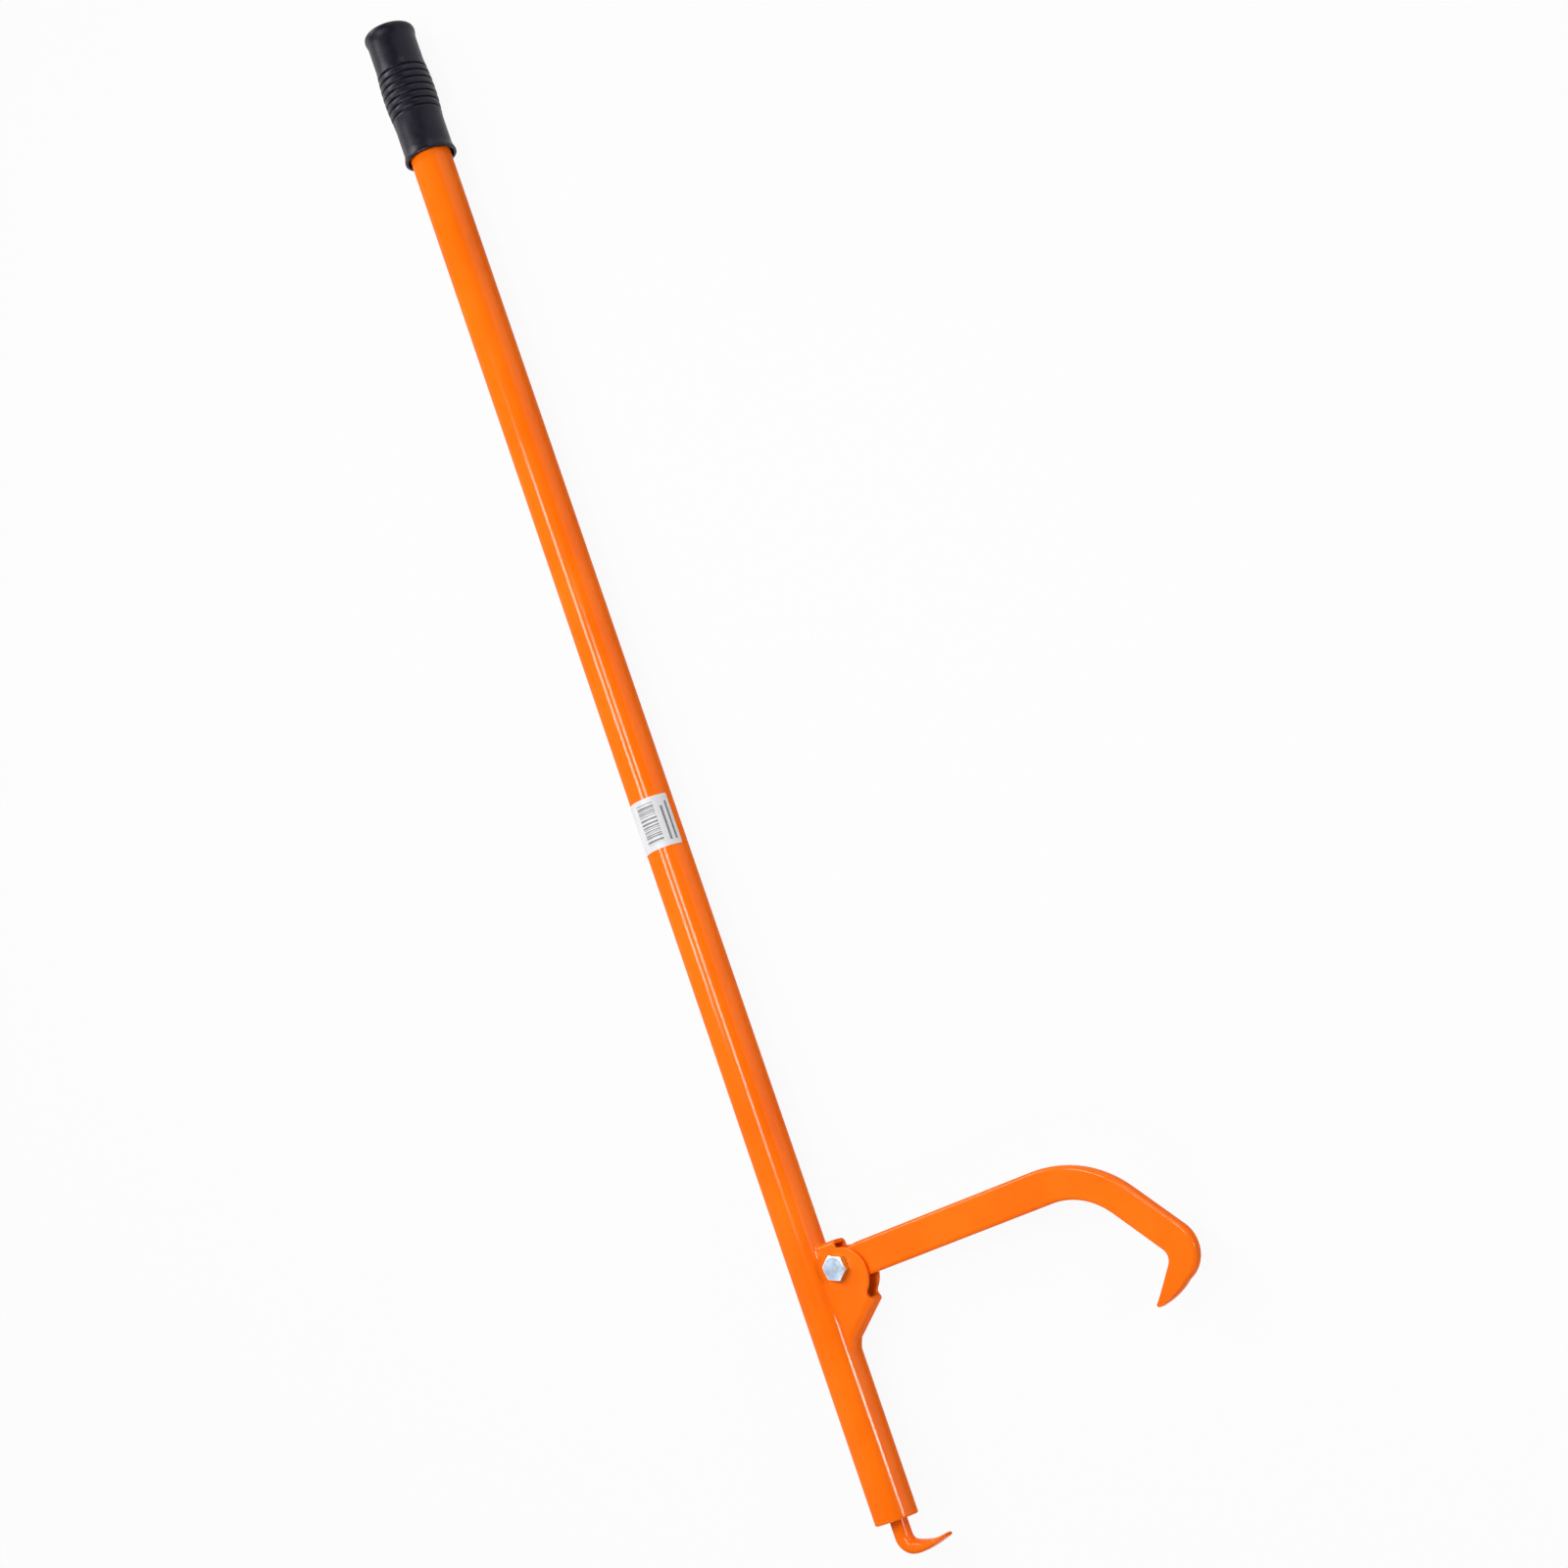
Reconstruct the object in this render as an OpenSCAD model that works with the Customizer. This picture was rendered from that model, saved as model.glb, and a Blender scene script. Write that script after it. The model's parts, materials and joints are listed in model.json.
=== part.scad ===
// Cant hook: a tubular steel pole with a rubber grip, a swinging hook and a bent toe.
// The tool lies on its side. X points to the side that the hook is on, Y runs up the pole to the
// grip, and Z is up, on the side of the bolt head. The origin is the middle of the grip's closed end.

/* [Pole] */
// Outside diameter of the tube
tube_d = 32; // [28:0.5:38]
// Wall of the tube
tube_wall = 2; // [1.2:0.1:3]
// Length of the tube
tube_len = 1187.5; // [900:0.5:1500]
// Broken edge at the lower end of the tube
tube_edge = 1.2; // [0.3:0.1:1.6]

/* [Grip] */
// Length of the grip
grip_len = 113.3; // [104:0.1:150]
// Rubber around the tube
grip_wall = 3.1; // [2.2:0.1:5]
// Rubber over the end of the tube
grip_end_wall = 5; // [4:0.5:10]
// Gap between the grip and the tube
grip_fit = 0.05; // [0.02:0.01:0.2]
// How far the closed end flares out
end_flare = 1; // [0.4:0.1:2]
// Length of the flare at the closed end
end_flare_len = 10.5; // [8:0.5:16]
// How far the lip of the mouth flares out
lip_flare = 1.5; // [0.5:0.1:3]
// Length of the lip of the mouth
lip_len = 8.5; // [6:0.5:14]
// Rubber left at the edge of the mouth
lip_wall = 1.3; // [0.8:0.1:2]
// Mouth to the first ring groove
groove_start = 39.6; // [30:0.2:42]
// Number of ring grooves
groove_count = 7; // [3:1:8]
// Spacing of the ring grooves
groove_pitch = 6; // [4:0.1:6.6]
// Depth of a ring groove
groove_depth = 0.8; // [0.3:0.1:1.4]
// Width of a ring groove
groove_w = 1.4; // [0.8:0.1:2.4]
// How far the ribs swell out at their middle
rib_swell = 1.6; // [0:0.1:2.5]

/* [Pivot] */
// Axis of the pole to the pivot
pivot_out = 27.5; // [26:0.5:36]
// Lower end of the tube to the pivot
pivot_up = 177.8; // [120:0.2:260]
// Diameter of the bolt
bolt_d = 10; // [8:1:12]
// Width of the hexagons across their flats
hex_af = 17; // [15:0.5:19]
// Height of the bolt head
head_h = 6.4; // [4:0.1:8]
// Turn of the bolt head about the bolt
head_turn = 37.8; // [0:0.2:60]
// Height of the nut
nut_h = 10; // [8:0.5:14]
// Turn of the nut about the bolt
nut_turn = 12; // [0:1:60]
// Height of the round collar on the nut
collar_h = 3; // [2:0.1:4]
// Height of the nylon ring in the collar
ring_h = 2.2; // [1.2:0.1:2.6]
// Wall of the nylon ring
ring_wall = 1.5; // [0.8:0.1:1.8]
// Length of the bolt past the nut
bolt_proud = 3; // [1:0.5:8]
// Gap between the bolt and the hook that turns on it
pivot_fit = 0.08; // [0.03:0.01:0.1]
// Gap between the bolt and the bracket or the nut
bolt_fit = 0.15; // [0.05:0.05:0.4]

/* [Bracket] */
// Thickness of the sheet
sheet_t = 3; // [2:0.1:4]
// Gap between the hook and each cheek
hook_side_gap = 0.5; // [0.3:0.1:1.2]
// Outside radius of the folds
fold_r = 4; // [3.2:0.1:5]
// Pivot to the outer face of the bridge above it
bridge_rise = 19.5; // [18.5:0.1:24]
// Pivot to the free end of the bridge
bridge_reach = 2.5; // [0:0.1:5]
// Radius of the rounded cheeks
lobe_r = 21; // [19:0.1:23]
// Centre of the cheeks' rounding, outward of the pivot
lobe_out = 0.8; // [0:0.1:2]
// Centre of the cheeks' rounding, below the pivot
lobe_drop = 7.5; // [6.5:0.1:10]
// Radius of the notch at the top of the web
notch_r = 4; // [3:0.1:5]
// Slope of the web
web_slope = 38.5; // [36:0.5:42]
// Length of the web
web_len = 38.1; // [36:0.1:42]
// Pivot to the foot of the web on the pole
foot_drop = 54; // [52:0.2:60]
// Gap between the bracket and the tube at the welds
root_gap = 0.2; // [0.05:0.05:0.5]

/* [Welds] */
// Leg of the weld beads
weld_leg = 3.4; // [2:0.1:4]
// Gap between a bead and the steel it lies on
weld_gap = 0.05; // [0.02:0.01:0.2]
// Half of the angle that the top and foot beads cover on the tube
weld_half_angle = 17; // [10:1:26]

/* [Hook] */
// Width of the bar
hook_w = 25; // [20:0.5:26]
// Thickness of the bar
hook_t = 10; // [8:0.5:12]
// Radius of the eye round the pivot
eye_r = 10.8; // [9:0.1:11]
// Pivot to the place where the bar has its full width
eye_len = 9; // [7:0.5:14]
// Angle of the arm above square to the pole, at rest
rest_angle = 0.4; // [-5:0.1:5]
// Pivot to the outer corner of the first bend
arm_len = 210.7; // [180:0.1:260]
// Turn of the first bend
first_turn = 52.7; // [45:0.1:60]
// Outer length of the leg between the bends
leg_len = 116.6; // [105:0.1:140]
// Width of the leg
leg_w = 22.4; // [19:0.1:25]
// Turn of the second bend, on its outer side
second_turn = 106.9; // [100:0.1:112]
// Outer length of the point
point_len = 61.8; // [56:0.1:72]
// Angle of the point
point_angle = 31.1; // [26:0.1:36]
// Outer radius of the first bend
first_out_r = 84; // [60:1:90]
// Inner radius of the first bend
first_in_r = 52; // [30:1:60]
// Outer radius of the second bend
heel_r = 21.5; // [14:0.5:23]
// Inner radius of the second bend
throat_r = 8.5; // [4:0.5:12]
// Radius of the point
point_r = 1.4; // [0.8:0.1:3]

/* [Toe] */
// Diameter of the toe's bar
toe_d = 13; // [10:0.5:16]
// Axis of the pole to the toe's bar, on the hook's side
toe_offset = 1; // [0:0.1:3]
// Lower end of the tube to the sole of the toe
toe_drop = 26.2; // [24:0.1:40]
// Bend radius at the middle of the bar
toe_bend_r = 8; // [7:0.5:10]
// Axis of the pole to the tip of the blade
toe_reach = 35.5; // [30:0.5:50]
// Width of the blade at its tip
blade_w = 18.5; // [14:0.5:24]
// Thickness of the blade at its tip
blade_tip_t = 2.6; // [1.5:0.1:4]
// Thickness of the blade at the bend
blade_root_t = 9.5; // [7:0.1:11]
// Sole of the toe to the lower edge of the tip
tip_lift = 3.9; // [1:0.1:6]
// Radius of the blade's corners
blade_corner_r = 4; // [2:0.2:6]

/* [Plug] */
// Thickness of the plug in the tube's end
plug_t = 8; // [5:0.5:16]
// Lower end of the tube to the plug
plug_recess = 4; // [3.5:0.5:8]
// Length of the toe's bar past the plug
toe_stub = 6; // [1:0.5:40]
// Gap round the plug and round the toe in it
plug_fit = 0.05; // [0.02:0.01:0.2]
// Leg of the ring welds at the plug
plug_weld_leg = 2.6; // [1.5:0.1:3]

/* [Label] */
// Length of the label along the pole
label_len = 39; // [20:1:80]
// Width of the label round the pole
label_w = 40; // [20:1:80]
// Lower end of the tube to the label
label_up = 505.9; // [400:0.1:700]
// Edge of the label, as an angle from the hook's side
label_turn = 9.4; // [0:0.1:90]
// Thickness of the label
label_t = 0.2; // [0.1:0.05:0.4]

/* [Hidden] */
$fn = 72;

paint = "darkorange";
black_rubber = "#26262c";
zinc = "silver";

tube_r = tube_d / 2;
bore_r = tube_r - tube_wall;
pole_end_y = -grip_end_wall - tube_len;
pivot_y = pole_end_y + pivot_up;
grip_bore_r = tube_r + grip_fit;
grip_r = grip_bore_r + grip_wall;
half_slot = hook_t / 2 + hook_side_gap;
half_out = half_slot + sheet_t;
bolt_r = bolt_d / 2;
hex_r = hex_af / sqrt(3);
toe_r = toe_d / 2;
// Room that a cutting shape has past what it cuts
past = 1;
// How far two curves that meet smoothly cut into each other
bite = 0.05;
// Where the shapes that reach into the tube stop
inside_x = -pivot_out + bore_r / 2;
// Step of the arcs in an outline, in degrees
arc_step = 4;

// Point at a distance from the origin along an angle
function polar(distance, angle) = distance * [cos(angle), sin(angle)];

// Where the lines through two points, along two angles, cross
function crossing(a, a_angle, b, b_angle) =
    let (gap = b - a)
    let (along = (gap[0] * sin(b_angle) - gap[1] * cos(b_angle)) / sin(b_angle - a_angle))
    a + polar(along, a_angle);

// Arc that rounds the corner b between a and c
function rounded_corner(a, b, c, r) =
    let (to_a = (a - b) / norm(a - b))
    let (to_c = (c - b) / norm(c - b))
    let (half = acos(to_a * to_c) / 2)
    let (middle = b + (to_a + to_c) / norm(to_a + to_c) * r / sin(half))
    let (first = b + to_a * r / tan(half) - middle)
    let (turn = 180 - 2 * half)
    let (side = sign(to_a[0] * to_c[1] - to_a[1] * to_c[0]))
    let (steps = ceil(turn / arc_step))
    [for (i = [0:steps])
        let (angle = atan2(first[1], first[0]) - side * turn * i / steps)
        middle + polar(r, angle)];

// Outline of a polygon whose corners are rounded, each by its own radius
function rounded_outline(corners, radii) =
    let (count = len(corners))
    [for (i = [0:count - 1])
        let (before = corners[(i + count - 1) % count])
        let (after = corners[(i + 1) % count])
        each radii[i] > 0 ? rounded_corner(before, corners[i], after, radii[i]) : [corners[i]]];

// Puts a shape that stands on Z along the pole, at a height above the tube's lower end
module up_pole(height = 0) {
    translate([0, pole_end_y + height, 0])
        rotate([-90, 0, 0])
            children();
}

// Puts a shape at the pivot, with the bolt along Z
module at_pivot() {
    translate([pivot_out, pivot_y, 0])
        children();
}

// Part of a ring round the pole, from one angle to another
module ring_part(from_angle, to_angle) {
    rotate([0, 0, -to_angle])
        rotate_extrude(angle = to_angle - from_angle)
            children();
}

module handle_tube() {
    color(paint)
        up_pole()
            rotate_extrude()
                polygon([
                    [bore_r, 0],
                    [tube_r - tube_edge, 0],
                    [tube_r, tube_edge],
                    [tube_r, tube_len],
                    [bore_r, tube_len]
                ]);
}

// Swell of the ribs at a height above the mouth
rib_mid = groove_start + (groove_count - 1) * groove_pitch / 2;
rib_half = (groove_count + 1.8) * groove_pitch / 2;
swell_power = 1.3;
function swell(y) =
    let (share = (y - rib_mid) / rib_half)
    rib_swell * pow(max(0, 1 - share * share), swell_power);
function groove(y) = [
    [grip_r + swell(y - groove_w / 2), y - groove_w / 2],
    [grip_r + swell(y) - groove_depth, y],
    [grip_r + swell(y + groove_w / 2), y + groove_w / 2]
];

module rubber_grip() {
    lip_r = grip_r + lip_flare;
    flare_r = grip_r + end_flare;
    flare_y = grip_len - end_flare_len;
    seat_y = grip_len - grip_end_wall;
    lip_edge = lip_wall / 2;
    mouth = [
        [grip_bore_r, lip_len],
        [lip_r - lip_wall - lip_edge, lip_edge],
        [lip_r - lip_wall, 0],
        [lip_r - lip_edge, 0],
        [lip_r, lip_len * 0.3],
        [lip_r, lip_len * 0.5],
        [grip_r, lip_len]
    ];
    ribs = [for (i = [0:groove_count - 1]) each groove(groove_start + i * groove_pitch)];
    run_in = [grip_r, rib_mid - rib_half];
    run_out = [grip_r, min(rib_mid + rib_half, flare_y)];
    closed_end = [
        [grip_r, flare_y],
        [grip_r + end_flare * 0.4, flare_y + end_flare_len * 0.3],
        [flare_r, flare_y + end_flare_len * 0.55],
        [flare_r, flare_y + end_flare_len * 0.7],
        [grip_r, grip_len - end_flare_len * 0.1],
        [grip_r - grip_wall / 2, grip_len],
        [0, grip_len],
        [0, seat_y],
        [grip_bore_r, seat_y]
    ];
    color(black_rubber)
        up_pole(tube_len + grip_end_wall - grip_len)
            rotate_extrude()
                polygon(concat(mouth, [run_in], ribs, [run_out], closed_end));
}

module label() {
    turn = label_w / tube_r * 180 / PI;
    color("white")
        up_pole(label_up)
            ring_part(label_turn, label_turn + turn)
                translate([tube_r + weld_gap, 0])
                    square([label_t, label_len]);
}

module end_plug() {
    color(paint)
        up_pole(plug_recess)
            difference() {
                cylinder(r = bore_r - plug_fit, h = plug_t);
                translate([toe_offset, 0, -past])
                    cylinder(r = toe_r + plug_fit, h = plug_t + 2 * past);
            }
}

// Ring of weld in the corner between the plug and the tube
module plug_weld() {
    wall_r = bore_r - weld_gap;
    color(paint)
        up_pole(plug_recess - weld_gap)
            rotate_extrude()
                polygon([[wall_r, 0], [wall_r, -plug_weld_leg], [wall_r - plug_weld_leg, 0]]);
}

// Ring of weld in the corner between the plug and the toe
module toe_weld() {
    bar_r = toe_r + weld_gap;
    color(paint)
        up_pole(plug_recess - weld_gap)
            translate([toe_offset, 0, 0])
                rotate_extrude()
                    polygon([[bar_r, 0], [bar_r, -plug_weld_leg], [bar_r + plug_weld_leg, 0]]);
}

// Side of the blade, with X from the toe's bar and Y from its sole
module blade_side() {
    tip_x = toe_reach - toe_offset;
    polygon([
        [0, 0],
        [toe_bend_r + toe_r, 0],
        [tip_x, tip_lift],
        [tip_x, tip_lift + blade_tip_t],
        [toe_bend_r + toe_r / 2, blade_root_t * 0.72],
        [toe_bend_r, blade_root_t],
        [0, blade_root_t]
    ]);
}

// Blade seen along the pole, with X from the toe's bar
module blade_plan() {
    tip_x = toe_reach - toe_offset;
    corners = [
        [0, -toe_r],
        [toe_bend_r, -toe_r],
        [tip_x, -blade_w / 2],
        [tip_x, blade_w / 2],
        [toe_bend_r, toe_r],
        [0, toe_r]
    ];
    polygon(rounded_outline(corners, [0, 0, blade_corner_r, blade_corner_r, 0, 0]));
}

module toe_spike() {
    bend_y = -toe_drop + toe_r + toe_bend_r;
    top_y = plug_recess + plug_t + toe_stub;
    color(paint)
        translate([toe_offset, pole_end_y, 0]) {
            translate([0, bend_y, 0])
                rotate([-90, 0, 0])
                    cylinder(r = toe_r, h = top_y - bend_y);
            translate([toe_bend_r, bend_y, 0])
                rotate([0, 0, 180])
                    rotate_extrude(angle = 90)
                        translate([toe_bend_r, 0])
                            circle(r = toe_r);
            translate([0, -toe_drop, 0])
                intersection() {
                    translate([toe_bend_r, 0, 0])
                        linear_extrude(height = 2 * blade_w, center = true)
                            translate([-toe_bend_r, 0])
                                intersection() {
                                    blade_side();
                                    translate([toe_bend_r, 0])
                                        square([toe_reach, toe_d + past]);
                                }
                    translate([0, toe_d + past, 0])
                        rotate([90, 0, 0])
                            linear_extrude(height = toe_d + 2 * past)
                                blade_plan();
                }
        }
}

// The folded bracket is drawn round the pivot, as it is seen along the bolt
web_along = [cos(web_slope), sin(web_slope)];
web_out = [sin(web_slope), -cos(web_slope)];
foot = [tube_r - pivot_out, -foot_drop];
web_end = foot + web_len * web_along;
lobe = [lobe_out, -lobe_drop];
// The notch is round: it runs on from the cheeks' rounding and ends square to the web
notch_from_lobe = web_end + notch_r * web_along - lobe;
notch_across = notch_from_lobe * web_out;
notch_reach = lobe_r + notch_r - bite;
notch_span = pow(notch_across, 2) - pow(norm(notch_from_lobe), 2) + pow(notch_reach, 2);
notch = lobe + notch_from_lobe - (notch_across - sqrt(notch_span)) * web_out;
web_low = foot - (foot[0] - inside_x) / web_along[0] * web_along;

// Cheeks, bridge and web as one block, before the room for the hook is cut out
module bracket_block() {
    wide = 2 * half_out;
    difference() {
        union() {
            translate([lobe[0], lobe[1], 0])
                cylinder(r = lobe_r, h = wide, center = true);
            linear_extrude(height = wide, center = true)
                polygon([
                    [inside_x, bridge_rise],
                    [bridge_reach, bridge_rise],
                    [bridge_reach, lobe[1]],
                    lobe,
                    notch,
                    notch - (notch_r - bite) * web_along,
                    web_end,
                    web_low
                ]);
        }
        translate([notch[0], notch[1], 0])
            cylinder(r = notch_r, h = wide + 2 * past, center = true);
    }
}

// Room between the cheeks, the bridge and the web
module bracket_inside() {
    reach = lobe_out + lobe_r + past;
    web_in = web_low - sheet_t * web_out - past * web_along;
    web_far = web_in + (reach - web_in[0]) / web_along[0] * web_along;
    polygon([
        web_in,
        web_far,
        [reach, bridge_rise - sheet_t],
        [web_in[0], bridge_rise - sheet_t]
    ]);
}

// What a fold takes off a sharp edge along X: the material is at plus Y and minus Z
module fold_cut(length) {
    translate([0, -past, -fold_r])
        difference() {
            cube([length, fold_r + past, fold_r + past]);
            translate([-past, fold_r + past, 0])
                rotate([0, 90, 0])
                    cylinder(r = fold_r + bite, h = length + 2 * past);
        }
}

module clevis_bracket() {
    fold_len = web_len + norm(foot - web_low) + past;
    color(paint)
        difference() {
            at_pivot()
                difference() {
                    bracket_block();
                    linear_extrude(height = 2 * half_slot, center = true)
                        bracket_inside();
                    for (side = [0, 1]) {
                        mirror([0, 0, side]) {
                            translate([web_low[0], web_low[1], half_out])
                                rotate([0, 0, web_slope])
                                    translate([-past, 0, 0])
                                        fold_cut(fold_len + past);
                            translate([inside_x - past, bridge_rise, half_out])
                                mirror([0, 1, 0])
                                    fold_cut(bridge_reach - inside_x + 2 * past);
                        }
                    }
                    cylinder(r = bolt_r + bolt_fit, h = 2 * half_out + 2 * past, center = true);
                }
            up_pole(-toe_drop)
                cylinder(r = tube_r + root_gap, h = tube_len);
        }
}

// Bead along one cheek: a fillet between the cheek's outer face and the tube
module cheek_weld() {
    face = half_out + weld_gap;
    seat_x = sqrt(pow(tube_r, 2) - pow(half_out, 2));
    tube_angle = asin(half_out / tube_r) + weld_leg / tube_r * 180 / PI;
    low = pivot_y - foot_drop + fold_r;
    high = pivot_y + bridge_rise - fold_r;
    translate([0, high, 0])
        rotate([90, 0, 0])
            linear_extrude(height = high - low)
                difference() {
                    polygon([
                        polar(tube_r, tube_angle),
                        [seat_x - past, face],
                        [seat_x + weld_leg, face]
                    ]);
                    circle(r = tube_r + weld_gap);
                }
}

module weld_front() {
    color(paint)
        cheek_weld();
}

module weld_rear() {
    color(paint)
        mirror([0, 0, 1])
            cheek_weld();
}

// Bead across the bridge, where it meets the tube
module weld_top() {
    seat_r = tube_r + weld_gap;
    color(paint)
        up_pole(pivot_up + bridge_rise + weld_gap)
            ring_part(-weld_half_angle, weld_half_angle)
                polygon([[seat_r, 0], [seat_r + weld_leg, 0], [seat_r, weld_leg]]);
}

// Bead under the foot of the web
module weld_foot() {
    seat_r = tube_r + weld_gap;
    color(paint)
        difference() {
            up_pole(pivot_up - foot_drop)
                ring_part(-weld_half_angle, weld_half_angle)
                    polygon([
                        [seat_r, weld_leg],
                        [seat_r, -weld_leg],
                        [seat_r + weld_leg * 0.8, weld_leg]
                    ]);
            at_pivot()
                translate([web_low[0], web_low[1], 0])
                    rotate([0, 0, web_slope])
                        translate([-past, -weld_gap, -half_out])
                            cube([2 * web_len, 2 * web_len, 2 * half_out]);
        }
}

// Corners of the hook, drawn round the pivot with the arm along X
arm_half = hook_w / 2;
leg_angle = -first_turn;
point_back = leg_angle - second_turn;
first_corner = [arm_len, arm_half];
heel = first_corner + polar(leg_len, leg_angle);
tip = heel + polar(point_len, point_back);
leg_inner = first_corner + polar(leg_w, leg_angle - 90);
throat = crossing(leg_inner, leg_angle, tip, point_back + point_angle);
inner_corner = crossing([0, -arm_half], 0, leg_inner, leg_angle);

module hook() {
    corners = [
        [eye_len, -arm_half],
        inner_corner,
        throat,
        tip,
        heel,
        first_corner,
        [eye_len, arm_half],
        [0, eye_r],
        [0, -eye_r]
    ];
    radii = [0, first_in_r, throat_r, point_r, heel_r, first_out_r, 0, 0, 0];
    color(paint)
        at_pivot()
            rotate([0, 0, rest_angle])
                difference() {
                    linear_extrude(height = hook_t, center = true)
                        union() {
                            polygon(rounded_outline(corners, radii));
                            circle(r = eye_r);
                        }
                    cylinder(r = bolt_r + pivot_fit, h = hook_t + 2 * past, center = true);
                }
}

// Hexagon with its outer corners turned off
module hexagon(height, turn) {
    flat_r = hex_af / 2;
    corner_h = hex_r - flat_r;
    intersection() {
        rotate([0, 0, turn])
            cylinder(r = hex_r, h = height, $fn = 6);
        union() {
            cylinder(r = hex_r + past, h = height - corner_h);
            translate([0, 0, height - corner_h])
                cylinder(r1 = hex_r + corner_h * 0.6, r2 = flat_r * 0.96, h = corner_h);
        }
    }
}

module pivot_bolt() {
    shank_end = -half_out - nut_h - bolt_proud;
    point_h = bolt_d * 0.1;
    color(zinc)
        at_pivot() {
            translate([0, 0, half_out])
                hexagon(head_h, head_turn);
            translate([0, 0, shank_end + point_h])
                cylinder(r = bolt_r, h = half_out - shank_end - point_h);
            translate([0, 0, shank_end])
                cylinder(r1 = bolt_r - point_h, r2 = bolt_r, h = point_h);
        }
}

module lock_nut() {
    collar_r = hex_af / 2 * 0.92;
    ring_r = bolt_r + bolt_fit + ring_wall;
    color(zinc)
        at_pivot()
            translate([0, 0, -half_out])
                mirror([0, 0, 1])
                    difference() {
                        union() {
                            hexagon(nut_h - collar_h, nut_turn);
                            translate([0, 0, nut_h - collar_h - past])
                                cylinder(r = collar_r, h = past + collar_h / 2);
                            translate([0, 0, nut_h - collar_h / 2])
                                cylinder(r1 = collar_r, r2 = collar_r - collar_h / 4, h = collar_h / 2);
                        }
                        translate([0, 0, -past])
                            cylinder(r = bolt_r + bolt_fit, h = nut_h + 2 * past);
                        translate([0, 0, nut_h - ring_h])
                            cylinder(r = ring_r, h = ring_h + past);
                    }
}

// Nylon ring that holds the thread
module nut_ring() {
    color("#3f6fb5")
        at_pivot()
            translate([0, 0, -half_out - nut_h])
                difference() {
                    cylinder(r = bolt_r + bolt_fit + ring_wall - plug_fit, h = ring_h - plug_fit);
                    translate([0, 0, -past])
                        cylinder(r = bolt_r + bolt_fit, h = ring_h + 2 * past);
                }
}

handle_tube();
rubber_grip();
label();
end_plug();
plug_weld();
toe_spike();
toe_weld();
clevis_bracket();
weld_front();
weld_rear();
weld_top();
weld_foot();
hook();
pivot_bolt();
lock_nut();
nut_ring();
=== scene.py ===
import json
import math

import bmesh
import bpy
from mathutils import Matrix, Vector


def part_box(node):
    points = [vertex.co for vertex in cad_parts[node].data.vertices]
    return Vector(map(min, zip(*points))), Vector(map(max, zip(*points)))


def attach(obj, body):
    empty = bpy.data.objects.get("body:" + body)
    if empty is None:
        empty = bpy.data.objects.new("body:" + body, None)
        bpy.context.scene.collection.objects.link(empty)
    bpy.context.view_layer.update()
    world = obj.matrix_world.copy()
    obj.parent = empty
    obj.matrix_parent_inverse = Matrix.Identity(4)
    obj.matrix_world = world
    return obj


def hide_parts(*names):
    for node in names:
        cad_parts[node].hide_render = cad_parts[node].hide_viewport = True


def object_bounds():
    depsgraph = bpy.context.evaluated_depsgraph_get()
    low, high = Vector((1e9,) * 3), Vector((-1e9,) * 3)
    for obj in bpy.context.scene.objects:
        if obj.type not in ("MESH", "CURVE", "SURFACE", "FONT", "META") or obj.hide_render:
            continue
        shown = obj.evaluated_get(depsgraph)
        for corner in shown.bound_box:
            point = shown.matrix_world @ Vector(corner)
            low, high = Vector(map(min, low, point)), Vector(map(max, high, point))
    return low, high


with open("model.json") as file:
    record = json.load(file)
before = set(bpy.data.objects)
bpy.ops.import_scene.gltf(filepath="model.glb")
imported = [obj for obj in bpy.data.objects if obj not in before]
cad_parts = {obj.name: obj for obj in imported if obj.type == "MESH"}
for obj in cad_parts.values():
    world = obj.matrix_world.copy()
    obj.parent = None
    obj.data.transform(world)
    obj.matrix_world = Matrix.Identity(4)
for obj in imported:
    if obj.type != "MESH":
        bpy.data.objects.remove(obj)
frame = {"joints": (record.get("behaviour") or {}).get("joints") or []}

MM = 0.001
cad_low, cad_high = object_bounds()
pivot = Vector(frame["joints"][0]["pos_m"])
tube_low, tube_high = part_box("handle_tube")
tube_r = tube_high.x
pole_end = tube_low.y
grip_low, grip_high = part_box("rubber_grip")
POLE_AXIS = (0, 1, 0)
BOLT_AXIS = (0, 0, 1)

# Distances in millimetres at which corners that fall together become one
TRACE_JOIN, CUT_JOIN, RIM_JOIN = 0.002, 0.005, 0.06


# Workshop habits: picking up, tracing, turning, cutting and putting a piece away

def lay_down_tools():
    """Leaves edit mode with nothing picked, so the next operator acts only on its own piece."""
    if bpy.context.object and bpy.context.object.mode != "OBJECT":
        bpy.ops.object.mode_set(mode="OBJECT")
    bpy.ops.object.select_all(action="DESELECT")


def pick_up(piece):
    lay_down_tools()
    piece.select_set(True)
    bpy.context.view_layer.objects.active = piece


def settle(name):
    """Names the piece just added and puts its place into its mesh."""
    piece = bpy.context.object
    piece.name = piece.data.name = name
    bpy.ops.object.transform_apply(location=True, rotation=True, scale=True)
    return piece


def trace(name, points):
    """Draws a chain of edges through points, starting from one corner, and stays in edit mode."""
    lay_down_tools()
    bpy.ops.mesh.primitive_plane_add(size=MM, location=points[0])
    piece = settle(name)
    bpy.ops.object.mode_set(mode="EDIT")
    bpy.ops.mesh.select_mode(type="VERT")
    bpy.ops.mesh.select_all(action="SELECT")
    bpy.ops.mesh.merge(type="CENTER")
    for here, there in zip(points, points[1:]):
        bpy.ops.mesh.extrude_vertices_move(TRANSFORM_OT_translate={"value": there - here})
    return piece


def merge_corners(distance):
    bpy.ops.mesh.select_all(action="SELECT")
    bpy.ops.mesh.remove_doubles(threshold=distance * MM)


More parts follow.
